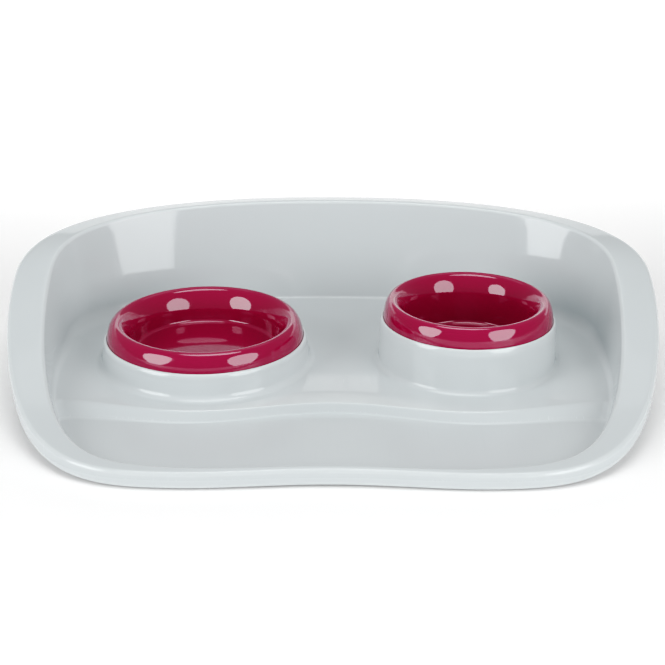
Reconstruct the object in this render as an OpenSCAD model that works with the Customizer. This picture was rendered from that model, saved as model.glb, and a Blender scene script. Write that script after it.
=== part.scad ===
// Double pet bowl: a feeding tray with a high splash back and two lift-out bowls.
// The front faces -Y, +Z is up, and the origin is on the floor under the middle of the tray.

/* [Tray] */
// Overall width of the tray
tray_w = 480; // [380:1:620]
// Overall depth of the tray
tray_d = 338; // [300:1:420]
// Height of the rim at the middle of the back
back_h = 91; // [70:1:130]
// Height of the rim at the front
front_h = 13; // [11.5:0.5:20]
// Wall thickness of the moulding
wall_t = 2.5; // [1.6:0.1:3.5]
// Height of the gutter floor
gutter_h = 6; // [4.5:0.5:7]
// Height of the platform that carries the bowls
platform_h = 13; // [11:0.5:15]
// Draft of the inside walls in degrees
wall_draft = 11.5; // [5:0.5:14]
// Distance of the widest line behind the middle
widest_y = 47; // [20:1:70]
// How much the tray narrows towards the front
taper_share = 0.26; // [0.1:0.01:0.35]

/* [Rim] */
// Width of the flange at the sides
flange_side_w = 27.5; // [18:0.5:34]
// Width of the flange at the middle of the front
flange_front_w = 6.5; // [6:0.5:14]
// Width of the flange at the middle of the back
flange_back_w = 15.5; // [10:0.5:22]
// Height of the turned-down lip
lip_h = 10.5; // [6:0.5:11]
// Radius of the edges between flange, lip and wall
edge_r = 3; // [2.6:0.1:3.3]
// Fall of the flange towards its outer edge
flange_fall = 1.2; // [0:0.1:3]
// How far the front edge draws in between the bowls
front_wave = 5; // [0:0.5:12]
// Distance of each front lobe from the middle
front_lobe_x = 102; // [80:1:130]

/* [Floor] */
// Distance of the step's upper edge in front of the middle
step_y = 64.4; // [52:0.1:76]
// How far the step bows forward round each bowl
step_wave = 13; // [0:1:18]
// Distance of each bow from the middle
step_lobe_x = 95; // [70:1:110]
// Run of the step at the middle
step_mid_run = 2.5; // [1.5:0.5:8]
// Run of the step where it meets the side walls
step_end_run = 22; // [12:1:26]
// Reach of the fillet between wall and floor
foot_reach = 4; // [2.5:0.5:8]
// Extra reach of that fillet in the back corners
corner_reach = 16; // [0:1:20]

/* [Bowls] */
// Distance of the bowls' centres behind the middle
bowl_y = 14.5; // [0:0.5:30]
// Wall thickness of the bowls
bowl_t = 2.5; // [1.6:0.1:3]
// Play between a bowl's skirt and its collar
bowl_gap = 0.3; // [0.2:0.05:0.6]
// Radius of the bowls' lips on the inside
lip_r = 5.8; // [4:0.1:7]
// Draft of the bowls' inside walls in degrees
bowl_draft = 10; // [6:0.5:13]
// Reach of the fillet round the bowls' floors
floor_round = 2.5; // [1:0.5:5]
// Height of the ring under each bowl's base
base_ring_h = 1; // [0.5:0.1:2.5]

/* [Left bowl] */
// Distance of the left bowl from the middle
left_x = 94.5; // [90:0.5:105]
// Radius of the left bowl over its skirt
left_skirt_r = 72.5; // [66:0.1:78]
// Height at which the left bowl's skirt rests
left_seat_h = 30.4; // [30:0.1:40]
// Height of the left bowl's skirt
left_skirt_h = 14; // [12.5:0.5:16]
// Inward lean of the left bowl's skirt from edge to lip
left_skirt_lean = 7.4; // [5:0.1:10]
// Inside depth of the left bowl
left_depth = 24.4; // [22:0.1:26]
// Radius of the flare between the left bowl's lip and its wall
left_flare_r = 28; // [22:0.5:33]
// Width of the rounded shoulder on top of the left collar
left_shoulder_w = 2; // [1.5:0.1:4]
// Height of that shoulder
left_shoulder_h = 4.5; // [3:0.5:6]
// Draft of the left collar in degrees
left_collar_draft = 9; // [0:0.5:12]
// Reach of the fillet at the left collar's foot
left_foot_reach = 6; // [3:0.5:10]

/* [Right bowl] */
// Distance of the right bowl from the middle
right_x = 99.5; // [92:0.5:110]
// Radius of the right bowl over its skirt
right_skirt_r = 62.5; // [56:0.1:70]
// Height at which the right bowl's skirt rests
right_seat_h = 45.5; // [36:0.1:54]
// Height of the right bowl's skirt
right_skirt_h = 15; // [11:0.5:16]
// Inward lean of the right bowl's skirt from edge to lip
right_skirt_lean = 6; // [5:0.1:10]
// Inside depth of the right bowl
right_depth = 36.6; // [28:0.1:40]
// Radius of the flare between the right bowl's lip and its wall
right_flare_r = 25; // [20:0.5:33]
// Width of the rounded shoulder on top of the right collar
right_shoulder_w = 1.8; // [1.5:0.1:4]
// Height of that shoulder
right_shoulder_h = 8; // [3:0.5:10]
// Draft of the right collar in degrees
right_collar_draft = 1.5; // [0:0.5:5]
// Reach of the fillet at the right collar's foot
right_foot_reach = 4.5; // [3:0.5:10]

/* [Collars] */
// Wall thickness of the collars
collar_t = 2.8; // [2.4:0.1:4]
// Width of the seat that carries the skirt
seat_w = 4.5; // [3.5:0.1:7]
// Height of the collar's top above the seat
upstand_h = 1; // [0.6:0.1:2]
// Width of the flat edge on top of the collar
top_edge_w = 0.4; // [0.2:0.1:1]

/* [Feet] */
// Radius of the rubber feet
foot_r = 9; // [6:0.5:12]
// Play between a foot and its ring
foot_gap = 0.2; // [0.1:0.05:0.4]
// Wall thickness of the rings round the feet
foot_ring_t = 2; // [1.5:0.1:3]
// How far the feet stand out of their rings
foot_stand = 1.5; // [1:0.1:2]
// Distance of the front feet from the middle
front_foot_x = 140; // [110:1:150]
// Distance of the front feet from the front edge
front_foot_in = 57; // [47:1:65]
// Distance of the rear feet from the middle
rear_foot_x = 122; // [90:1:130]
// Distance of the rear feet from the back edge
rear_foot_in = 81; // [74:1:99]

/* [Hidden] */
$fn = 96;
tray_colour = [0.80, 0.83, 0.83];
bowl_colour = [0.62, 0.05, 0.22];
rubber_colour = [0.16, 0.16, 0.17];

// Shape of the plan: exponents of its back and front halves, and of the flange's width
back_power = 2.22;
front_power = 8.2;
flange_back_power = 3.5;
flange_front_power = 2.5;
step_end_power = 8;
step_run_power = 1.5;
// S-curve of the rim from front to back, as a share of its rise
rise_share = 0.5;
// Directions, in degrees from the sides, where the step meets the walls
step_top_a = 25.5;
step_foot_a = 30.5;
// Direction and spread, in degrees from the back, of the wide fillet in the back corners
corner_a = 72;
corner_spread = 30;
arc_n = 66;
step_n = 4;
fillet_n = 4;
edge_n = 2;
skirt_n = 10;
lip_n = 4;
flare_n = 4;
bowl_bend_n = 5;
shoulder_n = 5;
collar_foot_n = 5;
// Slope, in degrees, at which a bowl's lip passes into its flare
flare_a = 48;
// How deep a collar's foot ends below the platform's face
sink = 0.1;
// Edge taken off the feet
foot_chamfer = 0.6;
// How far a cut runs past the face that it opens
overrun = 1;

half_w = tray_w / 2;
half_d = tray_d / 2;
back_b = half_d - widest_y;
front_b = half_d + widest_y;
drop = platform_h - gutter_h;

function lerp(a, b, t) = a + (b - a) * t;
function ease(t) = t * t * (3 - 2 * t);
function unit(v) = v / norm(v);
function left_of(v) = [-v[1], v[0]];

// A corner rounded over a length r each way, between the directions back and ahead
function rounded(corner, back, ahead, r, n) =
    [for (k = [0:n]) let (t = k / n) corner + back * r * (1 - t) * (1 - t) + ahead * r * t * t];

// A line of points moved t to its left, its two ends by steps of their own
function moved_line(s, t, first, last) = [for (k = [0:len(s) - 1])
    k == 0 ? s[k] + first
    : k == len(s) - 1 ? s[k] + last
    : let (side = left_of(unit(s[k] - s[k - 1])), mean = unit(side + left_of(unit(s[k + 1] - s[k]))))
        s[k] + mean * t / (mean * side)];

// Directions round the plan: the back, the left end of the step, the front, and the right end
turn_a = concat(
    [for (i = [0:arc_n]) lerp(-step_top_a, 180 + step_top_a, i / arc_n)],
    [for (i = [1:step_n - 1]) lerp(180 + step_top_a, 180 + step_foot_a, i / step_n)],
    [for (i = [0:arc_n]) lerp(180 + step_foot_a, 360 - step_foot_a, i / arc_n)],
    [for (i = [1:step_n - 1]) lerp(360 - step_foot_a, 360 - step_top_a, i / step_n)]);
turn_n = len(turn_a);

// Edge of the flange in one direction: two superellipses that meet at the widest line,
// the front one narrowed towards the front and drawn in at its middle
function rim_xy(a) =
    let (
        back = sin(a) >= 0,
        b = back ? back_b : front_b,
        n = back ? back_power : front_power,
        r = pow(pow(abs(cos(a)) / half_w, n) + pow(abs(sin(a)) / b, n), -1 / n),
        share = back ? 0 : -r * sin(a) / b,
        x = r * cos(a) * (1 - taper_share * share * share),
        wave = back || abs(x) > front_lobe_x ? 0 : front_wave * (1 + cos(180 * x / front_lobe_x)) / 2)
    [x, widest_y + r * sin(a) + wave];

rim_line = [for (a = turn_a) rim_xy(a)];
rim_normal = [for (i = [0:turn_n - 1])
    left_of(unit(rim_line[(i + 1) % turn_n] - rim_line[(i + turn_n - 1) % turn_n]))];

// Height of the rim at a distance y behind the middle
function rim_h(y) =
    let (t = min(1, max(0, (y + half_d) / tray_d)))
    lerp(front_h, back_h, t - rise_share * sin(360 * t) / (2 * PI));

// Width of the flange at a point of the rim
function flange_w(p) =
    let (back = p[1] >= widest_y, share = abs(p[0]) / half_w)
    lerp(back ? flange_back_w : flange_front_w, flange_side_w,
        pow(share, back ? flange_back_power : flange_front_power));

// Reach of the fillet at the foot of the wall in a direction
function reach(a) =
    let (from_back = abs((a + 270) % 360 - 180), off = (180 - from_back - corner_a) / corner_spread)
    foot_reach + corner_reach * exp(-off * off);

// Height of the floor at the foot of the wall, by its place in the list of directions
function foot_h(i) =
    i <= arc_n ? platform_h
    : i < arc_n + step_n ? platform_h - drop * ease((i - arc_n) / step_n)
    : i <= 2 * arc_n + step_n ? gutter_h
    : gutter_h + drop * ease((i - 2 * arc_n - step_n) / step_n);

// Section of the shell's upper side, from the lip's edge to the floor, as inset and height
function section(i) =
    let (
        p = rim_line[i],
        top = rim_h(p[1]),
        w = flange_w(p),
        low = foot_h(i),
        outer = top - flange_fall,
        corner = [w + (top - low) * tan(wall_draft), low],
        wall = unit([w, top] - corner),
        bend = edge_r * tan((90 - wall_draft) / 2),
        r = min(reach(turn_a[i]), (top - low) / 2))
    concat(
        [[0, outer - lip_h]],
        [for (k = [0:edge_n]) let (a = 90 * k / edge_n)
            [edge_r * (1 - cos(a)), outer - edge_r * (1 - sin(a))]],
        [for (k = [0:edge_n]) let (a = (90 - wall_draft) * k / edge_n)
            [w - bend + edge_r * sin(a), top - edge_r * (1 - cos(a))]],
        rounded(corner, wall, [1, 0], r, fillet_n));

function place(i, q) = concat(rim_line[i] + q[0] * rim_normal[i], q[1]);

upper = [for (i = [0:turn_n - 1]) section(i)];
lower = [for (s = upper) moved_line(s, -wall_t, [wall_t, 0], [0, -wall_t])];
sec_n = len(upper[0]);

// Line number k of the step, from the right wall to the left one, ending on the wall's foot
function step_mid_y(x, k) =
    let (run = lerp(step_mid_run, step_end_run, pow(min(1, abs(x) / half_w), step_run_power)))
    -step_y - step_wave * (1 - cos(180 * x / step_lobe_x)) / 2 - run * k / step_n;
function step_line(skin, k) =
    let (
        end = place(arc_n + k, skin[arc_n + k][sec_n - 1]),
        slip = skin == upper ? 0 : wall_t,
        rise = end[1] - step_mid_y(end[0], k))
    [for (j = [0:arc_n])
        let (x = lerp(-end[0], end[0], j / arc_n), share = pow(abs(x / end[0]), step_end_power))
        [x, step_mid_y(x, k) + rise * share + slip * (1 - share), end[2]]];

// Points of one skin: its turns from the first section point to the last, then the step's lines
function skin_points(skin) = concat(
    [for (k = [0:sec_n - 1]) for (i = [0:turn_n - 1]) place(i, skin[i][k])],
    [for (k = [0:step_n]) for (p = step_line(skin, k)) p]);
skin_size = sec_n * turn_n + (step_n + 1) * (arc_n + 1);

// Places in the list of points
function turn_at(base, k, i) = base + k * turn_n + (i + turn_n) % turn_n;
function line_at(base, k, j) =
    j == 0 ? turn_at(base, sec_n - 1, k == 0 ? 0 : turn_n - k)
    : j == arc_n ? turn_at(base, sec_n - 1, arc_n + k)
    : base + sec_n * turn_n + k * (arc_n + 1) + j;

// Two triangles for a patch, left out where the patch closes to a line
function patch(a, b, c, d) = concat(
    a == b || b == c || a == c ? [] : [[a, b, c]],
    a == c || c == d || a == d ? [] : [[a, c, d]]);
function turned(f) = [f[2], f[1], f[0]];

function skin_faces(base) = concat(
    [for (k = [0:sec_n - 2]) for (i = [0:turn_n - 1]) each patch(
        turn_at(base, k, i), turn_at(base, k + 1, i),
        turn_at(base, k + 1, i + 1), turn_at(base, k, i + 1))],
    [for (j = [0:arc_n - 1]) each patch(
        turn_at(base, sec_n - 1, j), line_at(base, 0, j),
        line_at(base, 0, j + 1), turn_at(base, sec_n - 1, j + 1))],
    [for (k = [0:step_n - 1]) for (j = [0:arc_n - 1]) each patch(
        line_at(base, k, j), line_at(base, k + 1, j),
        line_at(base, k + 1, j + 1), line_at(base, k, j + 1))],
    [for (j = [0:arc_n - 1]) let (i = 2 * arc_n + step_n - j) each patch(
        line_at(base, step_n, j), turn_at(base, sec_n - 1, i), turn_at(base, sec_n - 1, i - 1),
        line_at(base, step_n, j + 1))]);

module shell() {
    lip = [for (i = [0:turn_n - 1]) each patch(
        turn_at(0, 0, i), turn_at(0, 0, i + 1), turn_at(skin_size, 0, i + 1), turn_at(skin_size, 0, i))];
    polyhedron(
        concat(skin_points(upper), skin_points(lower)),
        concat(skin_faces(0), [for (f = skin_faces(skin_size)) turned(f)], lip));
}

// Round collar that stands on the platform and carries a bowl by its skirt: a seat inside a low
// edge, an elliptic shoulder outside it, a drafted wall and a fillet down to the platform
module collar(x, skirt_r, seat_h, shoulder_w, shoulder_h, draft, reach) {
    fit_r = skirt_r + bowl_gap;
    flat_r = fit_r + top_edge_w;
    top_r = flat_r + shoulder_w;
    seat_r = fit_r - seat_w;
    inner_r = top_r - collar_t;
    root = platform_h - wall_t / 2;
    ledge = seat_h - collar_t;
    foot_in = inner_r + (ledge - root) * tan(draft);
    top = seat_h + upstand_h;
    shoulder = top - shoulder_h;
    foot = [top_r + (shoulder - platform_h) * tan(draft), platform_h - sink];
    translate([x, bowl_y, 0]) rotate_extrude() polygon(concat(
        [[foot_in, root], [inner_r, ledge - (inner_r - seat_r)], [seat_r, ledge], [seat_r, seat_h],
            [fit_r, seat_h], [fit_r, top]],
        [for (k = [0:shoulder_n]) let (a = 90 - 90 * k / shoulder_n)
            [flat_r + shoulder_w * cos(a), shoulder + shoulder_h * sin(a)]],
        rounded(foot, unit([top_r, shoulder] - foot), [1, 0], reach, collar_foot_n),
        [[foot[0] + reach, root]]));
}

// Ring under the tray round a rubber foot, down from the height of the skin above it
module foot_ring(x, y, skin_h) {
    ring_r = foot_r + foot_gap;
    translate([x, y, foot_stand]) difference() {
        cylinder(h = skin_h - wall_t / 2 - foot_stand, r = ring_r + foot_ring_t);
        translate([0, 0, -overrun]) cylinder(h = skin_h - wall_t - foot_stand + overrun, r = ring_r);
    }
}

module tray() color(tray_colour) union() {
    shell();
    collar(-left_x, left_skirt_r, left_seat_h, left_shoulder_w, left_shoulder_h,
        left_collar_draft, left_foot_reach);
    collar(right_x, right_skirt_r, right_seat_h, right_shoulder_w, right_shoulder_h,
        right_collar_draft, right_foot_reach);
    for (side = [-1, 1]) {
        foot_ring(side * front_foot_x, front_foot_in - half_d, gutter_h);
        foot_ring(side * rear_foot_x, half_d - rear_foot_in, platform_h);
    }
}

// Bowl with a skirt that hangs outside the hollow and rests on the collar's seat. The inside
// runs from the lip's arc through a wide flare into a drafted wall and a rounded floor corner.
module bowl(x, skirt_r, seat_h, skirt_h, lean, depth, flare_r) {
    crest_r = skirt_r - lean;
    crest_h = seat_h + skirt_h;
    floor_h = crest_h - depth;
    lip_mid = [crest_r, crest_h - lip_r];
    flare_mid = lip_mid - (flare_r - lip_r) * [-sin(flare_a), cos(flare_a)];
    wall = [sin(bowl_draft), cos(bowl_draft)];
    wall_top = flare_mid + flare_r * left_of(wall);
    corner = wall_top - wall * (wall_top[1] - floor_h) / wall[1];
    skirt = [for (k = [0:skirt_n]) let (a = 90 * k / skirt_n)
        [crest_r + lean * cos(a), seat_h + skirt_h * sin(a)]];
    hollow = concat(
        [for (k = [1:lip_n]) let (a = flare_a * k / lip_n) lip_mid + lip_r * [-sin(a), cos(a)]],
        [for (k = [1:flare_n]) let (a = lerp(flare_a, 90 - bowl_draft, k / flare_n))
            flare_mid + flare_r * [-sin(a), cos(a)]],
        rounded(corner, wall, [-1, 0], floor_round, bowl_bend_n));
    outside = moved_line(concat(skirt, hollow), bowl_t, [-bowl_t, 0], [0, -bowl_t]);
    ring_r = corner[0] - floor_round;
    color(bowl_colour) translate([x, bowl_y, 0]) rotate_extrude() polygon(concat(
        skirt, hollow, [[0, floor_h], [0, floor_h - bowl_t]],
        [[ring_r - bowl_t, floor_h - bowl_t], [ring_r - bowl_t, floor_h - bowl_t - base_ring_h],
            [ring_r, floor_h - bowl_t - base_ring_h]],
        [for (k = [len(outside) - 1:-1:0]) outside[k]]));
}

module left_bowl()
    bowl(-left_x, left_skirt_r, left_seat_h, left_skirt_h, left_skirt_lean, left_depth, left_flare_r);
module right_bowl()
    bowl(right_x, right_skirt_r, right_seat_h, right_skirt_h, right_skirt_lean, right_depth,
        right_flare_r);

// Rubber foot pushed up against the skin inside its ring
module foot(x, y, skin_h) {
    top = skin_h - wall_t;
    color(rubber_colour) translate([x, y, 0]) rotate_extrude() polygon([
        [0, 0], [foot_r - foot_chamfer, 0], [foot_r, foot_chamfer], [foot_r, top], [0, top]]);
}
module foot_front_left() foot(-front_foot_x, front_foot_in - half_d, gutter_h);
module foot_front_right() foot(front_foot_x, front_foot_in - half_d, gutter_h);
module foot_rear_left() foot(-rear_foot_x, half_d - rear_foot_in, platform_h);
module foot_rear_right() foot(rear_foot_x, half_d - rear_foot_in, platform_h);

tray();
left_bowl();
right_bowl();
foot_front_left();
foot_front_right();
foot_rear_left();
foot_rear_right();
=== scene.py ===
# Double pet bowl: glossy grey feeding tray with a high splash back and two crimson lift-out bowls
import bmesh
import bpy
import numpy as np
from math import cos, radians, sin, tan
from mathutils import Matrix, Vector


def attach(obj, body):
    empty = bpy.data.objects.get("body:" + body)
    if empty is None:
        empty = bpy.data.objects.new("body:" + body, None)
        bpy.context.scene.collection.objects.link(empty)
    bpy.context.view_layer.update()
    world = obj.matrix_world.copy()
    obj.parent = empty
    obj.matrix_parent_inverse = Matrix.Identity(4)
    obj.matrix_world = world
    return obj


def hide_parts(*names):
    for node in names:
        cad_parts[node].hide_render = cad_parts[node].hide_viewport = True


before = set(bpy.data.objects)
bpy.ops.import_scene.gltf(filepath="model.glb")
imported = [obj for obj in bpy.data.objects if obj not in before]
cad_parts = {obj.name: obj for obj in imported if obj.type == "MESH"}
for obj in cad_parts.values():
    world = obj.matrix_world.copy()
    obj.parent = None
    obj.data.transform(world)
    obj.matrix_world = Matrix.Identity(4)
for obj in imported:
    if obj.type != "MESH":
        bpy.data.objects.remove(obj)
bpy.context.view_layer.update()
mm = 0.001
# Share of a run that an arc may take, distances in metres, and the angle that is drawn sharp
making = {"arcReach": 0.499, "merge": 1e-6, "slimEdge": 1e-7, "levelSlack": 5e-6, "sharpFrom": 40}
print("frame loaded:", ", ".join(sorted(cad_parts)))


# A polyline with an arc at each inner corner, tangent to the runs on both sides of it.
# corners is (lines, points, 2); arcs gives (radius, steps) per inner corner, and runs the
# steps of each straight run. A radius is a number or one value per line.
def roundedLine(corners, arcs, runs):
    corners = np.asarray(corners, float)
    run = np.diff(corners, axis=1)
    length = np.linalg.norm(run, axis=2, keepdims=True)
    ahead = run / length
    pieces, start = [], corners[:, 0]
    for i, (radius, steps) in enumerate(arcs, 1):
        u, v = -ahead[:, i - 1], ahead[:, i]
        half = np.arccos(np.clip((u * v).sum(1), -1, 1)) / 2
        room = making["arcReach"] * np.minimum(length[:, i - 1, 0], length[:, i, 0])
        reach = np.minimum(radius / np.tan(half), room)
        r = reach * np.tan(half)
        middle = u + v
        middle = middle / np.linalg.norm(middle, axis=1, keepdims=True)
        centre = corners[:, i] + middle * (r / np.sin(half))[:, None]
        first, last = corners[:, i] + u * reach[:, None], corners[:, i] + v * reach[:, None]
        turn = (np.pi - 2 * half)[:, None]
        t = np.linspace(0, 1, steps + 1)
        a = (np.sin((1 - t) * turn) / np.sin(turn))[..., None] * (first - centre)[:, None]
        b = (np.sin(t * turn) / np.sin(turn))[..., None] * (last - centre)[:, None]
        straight = np.linspace(0, 1, runs[i - 1] + 1)[None, :-1, None]
        pieces += [start[:, None] + straight * (first - start)[:, None], centre[:, None] + a + b]
        start = last
    straight = np.linspace(0, 1, runs[-1] + 1)[None, 1:, None]
    pieces.append(start[:, None] + straight * (corners[:, -1] - start)[:, None])
    return np.concatenate(pieces, axis=1)


# Corners of a line moved t to the right of its run: each corner goes along the mean of the
# two side vectors, stretched so that both runs move by t
def movedCorners(corners, t):
    ahead = np.diff(corners, axis=1)
    ahead = ahead / np.linalg.norm(ahead, axis=2, keepdims=True)
    side = np.stack([ahead[..., 1], -ahead[..., 0]], axis=-1)
    before = np.concatenate([side[:, :1], side], axis=1)
    after = np.concatenate([side, side[:, -1:]], axis=1)
    return corners + t * (before + after) / (1 + (before * after).sum(2, keepdims=True))


# Faces of a grid of points, row by row; loop closes the grid sideways
def gridFaces(rows, columns, base=0, loop=False):
    k = np.arange(rows * columns).reshape(rows, columns) + base
    side = np.roll(k, -1, axis=1) if loop else k[:, 1:]
    here = k if loop else k[:, :-1]
    return np.stack([here[:-1], side[:-1], side[1:], here[1:]], axis=-1).reshape(-1, 4)


# How sharply the surface bends outwards at each point, kept as the attribute that wear follows:
# over the edges that meet there, the mean of (turn of the normal . run) / run squared. Points
# at the level height calm, in millimetres, have none.
def markEdges(mesh, calm):
    count = len(mesh.vertices)
    place, normal = np.empty(count * 3), np.empty(count * 3)
    mesh.vertices.foreach_get("co", place)
    mesh.vertex_normals.foreach_get("vector", normal)
    ends = np.empty(len(mesh.edges) * 2, int)
    mesh.edges.foreach_get("vertices", ends)
    a, b = ends.reshape(-1, 2).T
    run = place.reshape(-1, 3)[b] - place.reshape(-1, 3)[a]
    turn = normal.reshape(-1, 3)[b] - normal.reshape(-1, 3)[a]
    bend = (turn * run).sum(1) / (run * run).sum(1)
    total = np.bincount(a, bend, count) + np.bincount(b, bend, count)
    share = np.bincount(a, minlength=count) + np.bincount(b, minlength=count)
    level = np.abs(place[2::3] - calm * mm) < making["levelSlack"]
    bend = np.where(level, 0, total / np.maximum(share, 1))
    mesh.attributes.new("bend", "FLOAT", "POINT").data.foreach_set("value", bend)


# One object from (grid, loop) pairs of points in millimetres, seams and poles merged and normals outwards.
# The default of calm is a height below every piece.
def surfaceObject(name, grids, calm=-1):
    points, faces, base = [], [], 0
    for grid, loop in grids:
        rows, columns = grid.shape[:2]
        points.append(grid.reshape(-1, 3))
        faces.append(gridFaces(rows, columns, base, loop))
        base += rows * columns
    mesh = bpy.data.meshes.new(name)
    points = np.concatenate(points) * mm
    faces = np.concatenate(faces)
    mesh.from_pydata(points.tolist(), [], faces.tolist())
    work = bmesh.new()
    work.from_mesh(mesh)
    bmesh.ops.remove_doubles(work, verts=work.verts, dist=making["merge"])
    bmesh.ops.dissolve_degenerate(work, edges=work.edges, dist=making["slimEdge"])
    bmesh.ops.recalc_face_normals(work, faces=work.faces)
    work.to_mesh(mesh)
    work.free()
    mesh.polygons.foreach_set("use_smooth", np.ones(len(mesh.polygons), bool))
    mesh.set_sharp_from_angle(angle=radians(making["sharpFrom"]))
    markEdges(mesh, calm)
    thing = bpy.data.objects.new(name, mesh)
    bpy.context.scene.collection.objects.link(thing)
    return thing


# A section of radius and height turned round an upright axis at (x, y)
def revolved(section, x, y, turns):
    a = np.linspace(0, 2 * np.pi, turns, endpoint=False)
    r, z = section[:, :1], section[:, 1:]
    return np.stack([x + r * np.cos(a), y + r * np.sin(a), z + 0 * a], axis=-1), True


# The tray

tray = {
    "width": 480, "depth": 338, "backHeight": 91, "frontHeight": 13, "wall": 2.5,
    "gutterFloor": 6, "platform": 13, "draft": 11.5, "widestY": 47, "taper": 0.26,
    "flangeSide": 27.5, "flangeFront": 6.5, "flangeBack": 15.5, "flangeFall": 1.2,
    "lip": 10.5, "edgeRadius": 3, "lipEdgeRadius": 0.6, "frontWave": 5, "frontLobeX": 102,
    "backPower": 2.22, "frontPower": 8.2, "flangeBackPower": 3.5, "flangeFrontPower": 2.5,
    "rise": 0.5,
    "stepY": 64.4, "stepWave": 13, "stepLobeX": 95, "stepMidRun": 2.5, "stepEndRun": 22,
    "stepTopAngle": 25.5, "stepFootAngle": 30.5, "stepEndPower": 8, "stepRunPower": 1.5,
    "footReach": 4, "cornerReach": 16, "cornerAngle": 72, "cornerSpread": 30, "endSlip": 0.001,
    "arcSteps": 200, "stepSteps": 20, "floorRows": 10, "lipEdgeSteps": 5, "edgeSteps": 10,
    "footSteps": 14, "sectionRuns": (1, 3, 6, 8, 1),
}
halfWidth, halfDepth = tray["width"] / 2, tray["depth"] / 2
arcSteps, stepSteps = tray["arcSteps"], tray["stepSteps"]


# Directions round the plan, in degrees: the back arc, the left end of the step, the front arc
# and the right end of the step
def planAngles():
    top, foot = tray["stepTopAngle"], tray["stepFootAngle"]
    back = np.linspace(-top, 180 + top, arcSteps + 1)
    left = np.linspace(180 + top, 180 + foot, stepSteps + 1)[1:-1]
    front = np.linspace(180 + foot, 360 - foot, arcSteps + 1)
    right = np.linspace(360 - foot, 360 - top, stepSteps + 1)[1:-1]
    return np.concatenate([back, left, front, right])


# Edge of the flange: two superellipses |x/a|^n + |y/b|^n = 1 that meet at the widest line,
# the front one narrowed with the square of its way forward and drawn in by a cosine at its middle
def rimLine(angles):
    c, s = np.cos(np.radians(angles)), np.sin(np.radians(angles))
    back = s >= 0
    b = np.where(back, halfDepth - tray["widestY"], halfDepth + tray["widestY"])
    n = np.where(back, tray["backPower"], tray["frontPower"])
    r = ((np.abs(c) / halfWidth) ** n + (np.abs(s) / b) ** n) ** (-1 / n)
    forward = np.where(back, 0, -r * s / b)
    x = r * c * (1 - tray["taper"] * forward ** 2)
    wave = tray["frontWave"] * (1 + np.cos(np.pi * x / tray["frontLobeX"])) / 2
    wave = np.where(back | (np.abs(x) > tray["frontLobeX"]), 0, wave)
    return np.stack([x, tray["widestY"] + r * s + wave], axis=1)


# Height of the rim: a line from front to back less a sine, so that it is level at both ends
def rimHeight(y):
    t = np.clip((y + halfDepth) / tray["depth"], 0, 1)
    share = t - tray["rise"] * np.sin(2 * np.pi * t) / (2 * np.pi)
    return tray["frontHeight"] + (tray["backHeight"] - tray["frontHeight"]) * share


# Width of the flange: that of the front's or the back's middle, grown to the side's with a power
# of |x|
def flangeWidth(line):
    back = line[:, 1] >= tray["widestY"]
    low = np.where(back, tray["flangeBack"], tray["flangeFront"])
    power = np.where(back, tray["flangeBackPower"], tray["flangeFrontPower"])
    return low + (tray["flangeSide"] - low) * (np.abs(line[:, 0]) / halfWidth) ** power


# Height of the floor at the foot of the wall, smooth from platform to gutter over the step
def footHeight():
    fall = tray["platform"] - tray["gutterFloor"]
    t = np.linspace(0, 1, stepSteps + 1)[1:-1]
    left = tray["platform"] - fall * t * t * (3 - 2 * t)
    back = np.full(arcSteps + 1, tray["platform"], float)
    front = np.full(arcSteps + 1, tray["gutterFloor"], float)
    return np.concatenate([back, left, front, left[::-1]])


# Corners of the shell's section, as inset and height: middle of the lip's edge, lip, flange,
# wall and floor. under moves them in by the wall.
def shellSection(angles, line, under):
    top, w, low = rimHeight(line[:, 1]), flangeWidth(line), footHeight()
    outer = top - tray["flangeFall"]
    edge = outer - tray["lip"]
    draft = tan(radians(tray["draft"]))
    foot = w + (top - low) * draft
    fromBack = np.abs((angles + 270) % 360 - 180)
    off = (180 - fromBack - tray["cornerAngle"]) / tray["cornerSpread"]
    reach = tray["footReach"] + tray["cornerReach"] * np.exp(-off ** 2)
    reach = np.minimum(reach, (top - low) / 2)
    footRadius = reach * tan(radians(45 + tray["draft"] / 2))
    zero = 0 * top
    corners = np.stack([
        np.stack([zero, edge], 1), np.stack([zero, outer], 1), np.stack([w, top], 1),
        np.stack([foot, low], 1), np.stack([foot + reach, low], 1)], axis=1)
    r, edgeR, wall = tray["edgeRadius"], tray["lipEdgeRadius"], tray["wall"]
    if under:
        corners = movedCorners(corners, wall)
        corners[:, 0, 1] = edge
        r, footRadius = r - wall, footRadius + wall
        corners[:, -1, 0] += tray["endSlip"]
        corners[:, -1, 1] = low - wall
    middle = np.stack([zero + wall / 2, edge], 1)[:, None]
    corners = np.concatenate([middle, corners], axis=1)
    arcs = [(edgeR, tray["lipEdgeSteps"]), (r, tray["edgeSteps"]), (r, tray["edgeSteps"]),
            (footRadius, tray["footSteps"])]
    return roundedLine(corners, arcs, tray["sectionRuns"])


# Free rows of the step at x: a cosine wave round the bowls, each row further down the run
def freeStepY(x, run):
    k = np.arange(stepSteps + 1)[:, None]
    wave = tray["stepWave"] * (1 - np.cos(np.pi * x / tray["stepLobeX"])) / 2
    return -tray["stepY"] - wave - run * k / stepSteps


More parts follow.
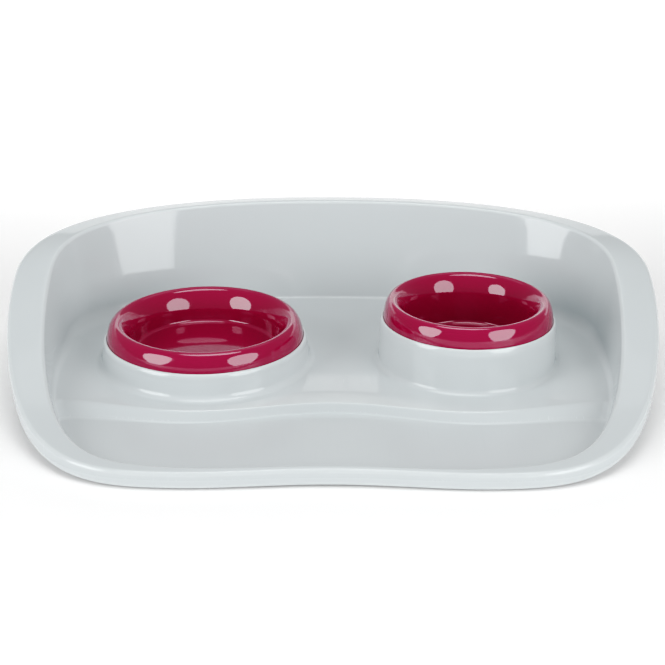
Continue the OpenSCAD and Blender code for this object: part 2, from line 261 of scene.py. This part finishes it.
# Rows of the step from the right wall to the left one: their run grows to the walls, and a high
# power of the way sideways bends their ends onto the wall's foot
def stepRows(ends, slip):
    share = np.linspace(-1, 1, arcSteps + 1)[None]
    x = share * ends[:, :1]
    aside = np.minimum(1, np.abs(x) / halfWidth) ** tray["stepRunPower"]
    run = tray["stepMidRun"] + (tray["stepEndRun"] - tray["stepMidRun"]) * aside
    bend = np.abs(share) ** tray["stepEndPower"]
    rise = ends[:, 1:2] - freeStepY(ends[:, :1], run[:, :1])
    y = freeStepY(x, run) + rise * bend + slip * (1 - bend)
    return np.stack([x, y, ends[:, 2:3] + 0 * x], axis=-1)


# One skin of the shell: the section carried round the plan, and the floor inside it in rows
def shellSkin(under):
    angles = planAngles()
    line = rimLine(angles)
    ahead = np.roll(line, -1, 0) - np.roll(line, 1, 0)
    ahead = ahead / np.linalg.norm(ahead, axis=1, keepdims=True)
    inwards = np.stack([-ahead[:, 1], ahead[:, 0]], axis=1)
    section = shellSection(angles, line, under)
    plan = line[:, None] + section[..., :1] * inwards[:, None]
    ring = np.concatenate([plan, section[..., 1:]], axis=2)
    foot = ring[:, -1]
    ends = foot[arcSteps:arcSteps + stepSteps + 1]
    step = stepRows(ends, tray["wall"] if under else 0)
    back = foot[:arcSteps + 1]
    front = foot[arcSteps + stepSteps:2 * arcSteps + stepSteps + 1][::-1]
    t = np.linspace(0, 1, tray["floorRows"] + 1)[:, None, None]
    platform = back[None] * (1 - t) + step[:1] * t
    gutter = step[-1:] * (1 - t) + front[None] * t
    return [(ring.transpose(1, 0, 2), True), (platform, False), (step, False), (gutter, False)]


# Round collar: seat inside a low edge, a shoulder that is a quarter ellipse, a drafted wall and
# a fillet that ends just over the platform and then goes down into it. Arcs are (radius, steps).
collars = {
    "left": {"x": -94.5, "y": 14.5, "skirt": 72.5, "seat": 30.4,
             "shoulder": 2, "shoulderHeight": 4.5, "draft": 9, "foot": 6},
    "right": {"x": 99.5, "y": 14.5, "skirt": 62.5, "seat": 45.5,
              "shoulder": 1.8, "shoulderHeight": 8, "draft": 1.5, "foot": 4.5},
    "gap": 0.3, "wall": 2.8, "seatWidth": 4.5, "edge": 1, "edgeWidth": 0.4, "turns": 216,
    "over": 0.015, "apron": 3, "bowSteps": 16, "footSteps": 14, "rootArc": (0.005, 1),
    "insideArcs": ((1, 3), (0.5, 2), (0.4, 3), (0.15, 2), (0.15, 3)), "outsideRuns": (6, 2, 1, 1),
}


def collarSurface(side):
    c = {**collars, **collars[side]}
    fit = c["skirt"] + c["gap"]
    flat = fit + c["edgeWidth"]
    top = flat + c["shoulder"]
    seat, crest = c["seat"], c["seat"] + c["edge"]
    shoulder = crest - c["shoulderHeight"]
    floor, root = tray["platform"] + c["over"], tray["platform"] - tray["wall"] / 2
    draft = tan(radians(c["draft"]))
    foot = top + (shoulder - floor) * draft
    inner, seatIn = top - c["wall"], fit - c["seatWidth"]
    ledge = seat - c["wall"]
    footIn = inner + (ledge - root) * draft
    rim = foot + c["foot"] + c["apron"]
    inside = roundedLine([[
        (footIn, root), (inner, ledge - (inner - seatIn)), (seatIn, ledge), (seatIn, seat),
        (fit, seat), (fit, crest), (flat, crest)]], c["insideArcs"], [1] * 6)[0]
    a = np.radians(np.linspace(90, 0, c["bowSteps"] + 1)[1:-1])
    bow = np.stack([flat + c["shoulder"] * np.cos(a), shoulder + c["shoulderHeight"] * np.sin(a)], 1)
    footRadius = c["foot"] * tan(radians(45 + c["draft"] / 2))
    outside = roundedLine(
        [[(top, shoulder), (foot, floor), (rim, floor), (rim, root), (footIn, root)]],
        [(footRadius, c["footSteps"]), c["rootArc"], c["rootArc"]], c["outsideRuns"])[0]
    return revolved(np.concatenate([inside, bow, outside]), c["x"], c["y"], c["turns"])


# Rubber feet, and the rings under the tray that hold them
feet = {
    "radius": 9, "gap": 0.2, "ring": 2, "stand": 1.5, "turns": 72,
    "frontX": 140, "frontY": -112, "rearX": 122, "rearY": 88,
    "ringArcs": ((0.3, 3), (0.5, 4), (0.01, 1)), "ringRuns": (2, 1, 2, 1),
    "grooves": (3, 5.2, 7.4), "grooveDepth": 0.35, "grooveWidth": 0.9,
    "grooveArc": (0.15, 2), "treadArc": (0.6, 4), "topArc": (0.2, 2),
}
footPlaces = {
    "foot_front_left": (-feet["frontX"], feet["frontY"], tray["gutterFloor"]),
    "foot_front_right": (feet["frontX"], feet["frontY"], tray["gutterFloor"]),
    "foot_rear_left": (-feet["rearX"], feet["rearY"], tray["platform"]),
    "foot_rear_right": (feet["rearX"], feet["rearY"], tray["platform"]),
}


def ringSurface(x, y, floor):
    inside = feet["radius"] + feet["gap"]
    outside = inside + feet["ring"]
    top = floor - tray["wall"] / 2
    stand = feet["stand"]
    corners = [(inside, top), (inside, stand), (outside, stand), (outside, top), (inside, top)]
    section = roundedLine([corners], feet["ringArcs"], feet["ringRuns"])[0]
    return revolved(section, x, y, feet["turns"])


def makeTray():
    upper, lower = shellSkin(False), shellSkin(True)
    grids = upper + lower + [collarSurface("left"), collarSurface("right")]
    grids += [ringSurface(*place) for place in footPlaces.values()]
    thing = surfaceObject("tray_moulding", grids, calm=tray["platform"] + collars["over"])
    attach(thing, "tray")
    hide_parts("tray")
    return thing


trayPiece = makeTray()
print("tray:", len(trayPiece.data.polygons), "faces")

# The bowls

bowls = {
    "left": {"skirtHeight": 14, "lean": 7.4, "depth": 24.4, "flare": 28},
    "right": {"skirtHeight": 15, "lean": 6, "depth": 36.6, "flare": 25},
    "wall": 2.5, "lipRadius": 5.8, "flareAngle": 48, "draft": 10, "floorRound": 2.5, "baseRing": 1,
    "edge": 0.5, "edgeShare": 0.9, "edgeSteps": 4, "turns": 288, "skirtSteps": 28, "lipSteps": 14,
    "flareSteps": 14, "cornerSteps": 14, "insideRuns": (10, 5), "tailFrom": 1.2, "ringOut": 0.6,
    "ringIn": 0.4, "ringArcs": ((0.4, 3), (0.4, 4), (0.4, 4), (0.4, 3)), "tailRuns": (1, 1, 1, 1, 6),
}


# Section of a bowl from the middle of its floor: floor, corner arc, drafted wall, wide flare,
# round lip and a skirt that is a quarter ellipse. The underside is that line moved in by the wall,
# closed by the skirt's lower edge and, under the floor, by the base ring.
def bowlSurface(side):
    b = {**collars[side], **bowls, **bowls[side]}  # the collar's skirt, seat and place, and the bowl's own
    crest = b["skirt"] - b["lean"]
    height = b["seat"] + b["skirtHeight"]
    floor = height - b["depth"]
    turn, draft = radians(b["flareAngle"]), radians(b["draft"])
    lipMid = np.array([crest, height - b["lipRadius"]])
    flareMid = lipMid - (b["flare"] - b["lipRadius"]) * np.array([-sin(turn), cos(turn)])
    wallTop = flareMid + b["flare"] * np.array([-cos(draft), sin(draft)])
    foot = wallTop[0] - (wallTop[1] - floor) * tan(draft)
    bend = b["floorRound"]
    cornerArc = (bend * tan(np.pi / 4 + draft / 2), b["cornerSteps"])
    inside = roundedLine([[(0, floor), (foot, floor), tuple(wallTop)]], [cornerArc], b["insideRuns"])[0]
    a = np.linspace(np.pi / 2 - draft, turn, b["flareSteps"] + 1)[1:, None]
    flare = flareMid + b["flare"] * np.concatenate([-np.sin(a), np.cos(a)], axis=1)
    a = np.linspace(turn, 0, b["lipSteps"] + 1)[1:, None]
    lip = lipMid + b["lipRadius"] * np.concatenate([-np.sin(a), np.cos(a)], axis=1)
    a = np.linspace(np.pi / 2, np.arcsin(b["edge"] / b["skirtHeight"]), b["skirtSteps"] + 1)[1:]
    skirt = np.stack([crest + b["lean"] * np.cos(a), b["seat"] + b["skirtHeight"] * np.sin(a)], 1)
    outer = np.concatenate([inside, flare, lip, skirt])
    ahead = np.gradient(outer, axis=0)
    ahead = ahead / np.linalg.norm(ahead, axis=1, keepdims=True)
    under = outer + b["wall"] * np.stack([ahead[:, 1], -ahead[:, 0]], 1)
    under = under[::-1]
    under[:, 0] = np.maximum(under[:, 0], 0)
    seat, skirt = b["seat"], b["skirt"]
    edgeArc = (b["edge"] * b["edgeShare"], b["edgeSteps"])
    edge = roundedLine([[tuple(outer[-1]), (skirt, seat), (skirt - b["wall"], seat), tuple(under[0])]],
                       [edgeArc] * 2, [1] * 3)[0]
    ring = foot - bend
    base = floor - b["wall"]
    keep = under[under[:, 0] > ring + b["tailFrom"]]
    bottom, ringIn = base - b["baseRing"], ring - b["wall"]
    tail = roundedLine([[tuple(keep[-1]), (ring + b["ringOut"], base), (ring, bottom), (ringIn, bottom),
                         (ringIn - b["ringIn"], base), (0, base)]], b["ringArcs"], b["tailRuns"])[0]
    section = np.concatenate([outer[:-1], edge, keep[1:-1], tail])
    return revolved(section, b["x"], b["y"], b["turns"])


def makeBowl(side):
    node = side + "_bowl"
    thing = surfaceObject(node + "_shell", [bowlSurface(side)])
    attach(thing, node)
    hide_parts(node)
    return thing


bowlPieces = {side: makeBowl(side) for side in ("left", "right")}
print("bowls:", [len(b.data.polygons) for b in bowlPieces.values()], "faces")


# The rubber feet: round pads with rounded edges and ring grooves in the tread
def footSurface(x, y, floor):
    top = floor - tray["wall"]
    r, depth, width = feet["radius"], feet["grooveDepth"], feet["grooveWidth"]
    corners, arcs = [(0, 0)], []
    for g in feet["grooves"]:
        corners += [(g - width / 2, 0), (g - width / 4, depth),
                    (g + width / 4, depth), (g + width / 2, 0)]
        arcs += [feet["grooveArc"]] * 4
    corners += [(r, 0), (r, top), (0, top)]
    arcs += [feet["treadArc"], feet["topArc"]]
    section = roundedLine([corners], arcs, [2] + [1] * (len(corners) - 2))[0]
    return revolved(section, x, y, feet["turns"])


def makeFoot(node):
    thing = surfaceObject(node + "_rubber", [footSurface(*footPlaces[node])])
    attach(thing, "tray")
    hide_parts(node)
    return thing


footPieces = [makeFoot(node) for node in footPlaces]
print("feet:", len(footPieces))


# Shader values as expressions: a wire holds one socket, and arithmetic on it adds Math nodes
class Wire:
    def __init__(self, paint, socket):
        self.paint, self.socket = paint, socket

    def math(self, operation, a, b):
        return self.paint.node("ShaderNodeMath", {"operation": operation}, {0: a, 1: b})

    def __add__(self, other):
        return self.math("ADD", self, other)

    def __radd__(self, other):
        return self.math("ADD", other, self)

    def __sub__(self, other):
        return self.math("SUBTRACT", self, other)

    def __rsub__(self, other):
        return self.math("SUBTRACT", other, self)

    def __mul__(self, other):
        return self.math("MULTIPLY", self, other)

    def __rmul__(self, other):
        return self.math("MULTIPLY", other, self)


# A material under construction, with one method that makes any node
class Paint:
    def __init__(self, name):
        self.material = bpy.data.materials.new(name)
        self.material.use_nodes = True
        self.tree = self.material.node_tree
        self.shader = self.tree.nodes["Principled BSDF"]

    def node(self, kind, settings=None, values=None, out=0):
        made = self.tree.nodes.new(kind)
        for key, value in (settings or {}).items():
            setattr(made, key, value)
        for key, value in (values or {}).items():
            self.feed(self.find(made.inputs, key), value)
        return Wire(self, self.find(made.outputs, out))

    def find(self, sockets, key):
        if isinstance(key, int):
            return sockets[key]
        return next(s for s in sockets if key in (s.identifier, s.name))

    def feed(self, socket, value):
        if isinstance(value, Wire):
            self.tree.links.new(value.socket, socket)
        else:
            socket.default_value = value

    def set(self, **values):
        for key, value in values.items():
            name = key.replace("_", " ")
            self.feed(self.find(self.shader.inputs, name), value)

    def place(self):
        return self.node("ShaderNodeTexCoord", out="Object")

    def noise(self, vector, scale, detail=2.0, roughness=0.5):
        return self.node("ShaderNodeTexNoise", {"noise_dimensions": "3D"}, {
            "Vector": vector, "Scale": scale, "Detail": detail, "Roughness": roughness}, "Fac")

    def axis(self, vector, letter):
        return self.node("ShaderNodeSeparateXYZ", {}, {"Vector": vector}, letter)

    # 0 below low, 1 above high, smooth between
    def ramp(self, value, low, high):
        return self.node("ShaderNodeMapRange", {"interpolation_type": "SMOOTHSTEP"}, {
            "Value": value, "From Min": low, "From Max": high}, "Result")

    def blend(self, factor, a, b):
        a, b = (c if isinstance(c, Wire) else (*c, 1) for c in (a, b))
        return self.node("ShaderNodeMix", {"data_type": "RGBA"}, {
            "Factor_Float": factor, "A_Color": a, "B_Color": b}, "Result_Color")

    def bump(self, height, strength, distance):
        return self.node("ShaderNodeBump", {}, {
            "Height": height, "Strength": strength, "Distance": distance}, "Normal")

    def attribute(self, name):
        return self.node("ShaderNodeAttribute", {"attribute_name": name}, {}, "Fac")

    # Object coordinates turned about Z and pressed together across the strokes
    def strokes(self, place, degrees, across):
        return self.node("ShaderNodeMapping", {}, {
            "Vector": place, "Rotation": (0, 0, radians(degrees)), "Scale": across}, "Vector")


# Noises are (scale, detail, roughness) from left to right, as far as they are set. Lengths are in
# metres, but the heights of satinTo in millimetres.
finishes = {
    "tray": {
        "light": (0.525, 0.565, 0.575), "dark": (0.505, 0.545, 0.56), "worn": (0.60, 0.635, 0.64),
        "rough": 0.07, "roughSpread": 0.04, "coat": 0.0, "satin": 0.24, "satinTo": (6.3, 9),
        "waves": (22, 1.0), "grain": (1400, 2.0), "bump": 0.06, "hairs": 0.10},
    "bowl": {
        "light": (0.265, 0.007, 0.058), "dark": (0.24, 0.005, 0.051), "worn": (0.32, 0.03, 0.09),
        "rough": 0.06, "roughSpread": 0.04, "coat": 0.5, "satin": 0, "satinTo": (0, 1),
        "waves": (30, 1.0), "grain": (1800, 2.0), "bump": 0.05, "hairs": 0.06},
    "rubber": {
        "light": (0.030, 0.030, 0.032), "dark": (0.018, 0.018, 0.020), "worn": (0.055, 0.055, 0.056),
        "rough": 0.72, "roughSpread": 0.15, "blotch": (120.0, 2.0), "grain": (2200, 3.0, 0.6),
        "bump": 0.25, "bumpDistance": 0.0004},
}
gloss = {"waveShare": 0.9, "grainShare": 0.02, "bumpDistance": 0.002, "ior": 1.5, "coatRough": 0.03}
# Edges wear between the bends from and to, in 1/metre
wear = {"from": 40, "to": 260, "rough": 0.10, "cloud": (9, 3.0), "smear": (45, 5.0, 0.65),
        "hairScale": (900, 14, 14), "hairTurns": (24, -58), "hairNoise": (1.0, 1.0),
        "hairFrom": 0.63, "hairTo": 0.70}


# Where an edge is worn: the outward bend of the surface, broken up by a noise
def wornEdges(p, smear):
    return p.ramp(p.attribute("bend"), wear["from"], wear["to"]) * smear


# Fine hairlines from wiping, in two directions: noise stretched along its strokes, cut to its peaks
def hairlines(p, place):
    first, second = (
        p.ramp(p.noise(p.strokes(place, turn, wear["hairScale"]), *wear["hairNoise"]),
               wear["hairFrom"], wear["hairTo"]) for turn in wear["hairTurns"])
    return first + second


# Gloss moulded plastic: broad shrink waves and a very fine skin in the bump, slow changes of
# tone, paler worn edges, and a roughness that wanders a little and rises on hairlines and worn
# edges. Below satinTo the plastic is satin: that is the gutter's floor, which is rubbed most.
def glossPlastic(name, f):
    p = Paint(name)
    place = p.place()
    cloud = p.noise(place, *wear["cloud"])
    waves = p.noise(place, *f["waves"])
    grain = p.noise(place, *f["grain"])
    smear = p.noise(place, *wear["smear"])
    height = waves * gloss["waveShare"] + grain * gloss["grainShare"]
    low = 1 - p.ramp(p.axis(place, "Z"), f["satinTo"][0] * mm, f["satinTo"][1] * mm)
    worn = wornEdges(p, smear)
    tone = p.blend(cloud, f["dark"], f["light"])
    rough = f["rough"] + (smear - 0.5) * f["roughSpread"] + low * f["satin"]
    p.set(Base_Color=p.blend(worn, tone, f["worn"]),
          Roughness=rough + worn * wear["rough"] + hairlines(p, place) * f["hairs"],
          Normal=p.bump(height, f["bump"], gloss["bumpDistance"]))
    p.set(IOR=gloss["ior"], Coat_Weight=f["coat"], Coat_Roughness=gloss["coatRough"])
    return p.material


# Matt rubber: a coarse skin, blotches, and a paler dusty wear on the edges of the tread
def mattRubber(name, f):
    p = Paint(name)
    place = p.place()
    grain = p.noise(place, *f["grain"])
    blotch = p.noise(place, *f["blotch"])
    tone = p.blend(blotch, f["dark"], f["light"])
    p.set(Base_Color=p.blend(wornEdges(p, blotch), tone, f["worn"]),
          Roughness=f["rough"] + (grain - 0.5) * f["roughSpread"],
          Normal=p.bump(grain, f["bump"], f["bumpDistance"]))
    return p.material


def dress(thing, material):
    thing.data.materials.clear()
    thing.data.materials.append(material)


trayPlastic = glossPlastic("tray_plastic_gloss", finishes["tray"])
bowlPlastic = glossPlastic("bowl_plastic_gloss", finishes["bowl"])
rubber = mattRubber("foot_rubber", finishes["rubber"])
dress(trayPiece, trayPlastic)
for piece in bowlPieces.values():
    dress(piece, bowlPlastic)
for piece in footPieces:
    dress(piece, rubber)
# The solids carried over from the CAD wear the same materials
dress(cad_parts["tray"], trayPlastic)
for side in bowlPieces:
    dress(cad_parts[side + "_bowl"], bowlPlastic)
for node in footPlaces:
    dress(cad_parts[node], rubber)
print("materials set")

# Camera, floor and light

view = {"elevation": 22.5, "distance": 1100.5, "targetY": 5, "targetZ": 39, "roll": 0.23,
        "focalPixels": 1500, "imagePixels": 665, "centre": (333, 330), "sensorWidth": 36}


def makeCamera():
    e = radians(view["elevation"])
    data = bpy.data.cameras.new("camera")
    data.sensor_width = view["sensorWidth"]
    data.lens = view["focalPixels"] / view["imagePixels"] * data.sensor_width
    half = view["imagePixels"] / 2
    data.shift_x = (half - view["centre"][0]) / view["imagePixels"]
    data.shift_y = (view["centre"][1] - half) / view["imagePixels"]
    camera = bpy.data.objects.new("camera", data)
    bpy.context.scene.collection.objects.link(camera)
    place = Vector((0, view["targetY"] - view["distance"] * cos(e),
                    view["targetZ"] + view["distance"] * sin(e)))
    turn = Matrix.Rotation(radians(90) - e, 4, "X") @ Matrix.Rotation(radians(view["roll"]), 4, "Z")
    camera.matrix_world = Matrix.Translation(place * mm) @ turn
    bpy.context.scene.camera = camera


# White table that sweeps up behind, with a painted glow in its colour: an emission that is weak near the
# part, brighter far back where the lamps light it less, and dimmer again up the wall. The sheet is a strip
# of floor, a quarter circle and a wall, each point of the profile drawn out sideways
sweep = {"width": 8000, "front": -4000, "back": 1500, "radius": 1200, "top": 1300,
         "glow": 0.9, "nearGlow": 0.07, "glowFrom": 60, "glowTo": 1100,
         "fadeFrom": 250, "fadeTo": 900, "fade": 0.45, "columns": 17, "curveSteps": 24, "runs": (12, 4),
         "dark": (0.87, 0.87, 0.87), "light": (0.89, 0.89, 0.89), "cloud": (3.0, 2.0), "rough": 0.6}


def makeFloor():
    x = np.linspace(-sweep["width"] / 2, sweep["width"] / 2, sweep["columns"])
    wallY = sweep["back"] + sweep["radius"]
    line = roundedLine([[(sweep["front"], 0), (wallY, 0), (wallY, sweep["top"])]],
                       [(sweep["radius"], sweep["curveSteps"])], sweep["runs"])[0]
    grid = np.stack([x[None] + 0 * line[:, :1], line[:, :1] + 0 * x, line[:, 1:] + 0 * x], axis=-1)
    floor = surfaceObject("floor", [(grid, False)])
    p = Paint("floor_white_painted_glow")
    place = p.place()
    # Painted glow: the emission grows along Y from nearGlow to full strength and is cut back up the wall
    far = p.ramp(p.axis(place, "Y"), sweep["glowFrom"] * mm, sweep["glowTo"] * mm)
    high = p.ramp(p.axis(place, "Z"), sweep["fadeFrom"] * mm, sweep["fadeTo"] * mm)
    far = far * (1 - high * sweep["fade"])
    p.set(Base_Color=p.blend(p.noise(place, *sweep["cloud"]), sweep["dark"], sweep["light"]),
          Emission_Color=p.blend(far, (sweep["nearGlow"],) * 3, (1, 1, 1)))
    p.set(Roughness=sweep["rough"], Emission_Strength=sweep["glow"])
    dress(floor, p.material)


# Two tall softboxes in front, where their mirror images in the bowls and on the back wall put
# them, one above, a weak panel behind, and a pale room
lights = {
    "leftBox": {"at": (-1244, -839, 640), "aim": (0, 0, 500), "size": (940, 1390), "watts": 15},
    "rightBox": {"at": (800, -920, 560), "aim": (0, -797, 560), "size": (1080, 1300),
                 "watts": 13.5},
    "topBox": {"at": (0, -80, 1250), "aim": (0, -20, 0), "size": (900, 560), "watts": 5.0},
    "backPanel": {"at": (0, 1000, 1500), "aim": (0, 0, 0), "size": (1200, 600), "watts": 0.8},
}
room = {"Color": (1, 1, 1, 1), "Strength": 0.30}


def makeLights():
    for name, l in lights.items():
        data = bpy.data.lights.new(name, "AREA")
        data.shape = "ELLIPSE"
        data.size, data.size_y = l["size"][0] * mm, l["size"][1] * mm
        data.energy = l["watts"]
        lamp = bpy.data.objects.new(name, data)
        bpy.context.scene.collection.objects.link(lamp)
        at = Vector(l["at"]) * mm
        aim = (Vector(l["aim"]) * mm - at).to_track_quat("-Z", "Y")
        lamp.matrix_world = Matrix.Translation(at) @ aim.to_matrix().to_4x4()
    world = bpy.data.worlds.new("studio")
    world.use_nodes = True
    for key, value in room.items():
        world.node_tree.nodes["Background"].inputs[key].default_value = value
    bpy.context.scene.world = world


# Tone of a product photo: the darks drawn down and the brights lifted a little
toneCurve = ((0.03, 0.010), (0.10, 0.075), (0.30, 0.35), (0.60, 0.64))


def setToneCurve():
    settings = bpy.context.scene.view_settings
    settings.view_transform = "Standard"
    settings.use_curve_mapping = True
    for x, y in toneCurve:
        settings.curve_mapping.curves[3].points.new(x, y)
    settings.curve_mapping.update()


makeCamera()
makeFloor()
makeLights()
setToneCurve()
print("camera, floor and lights set")
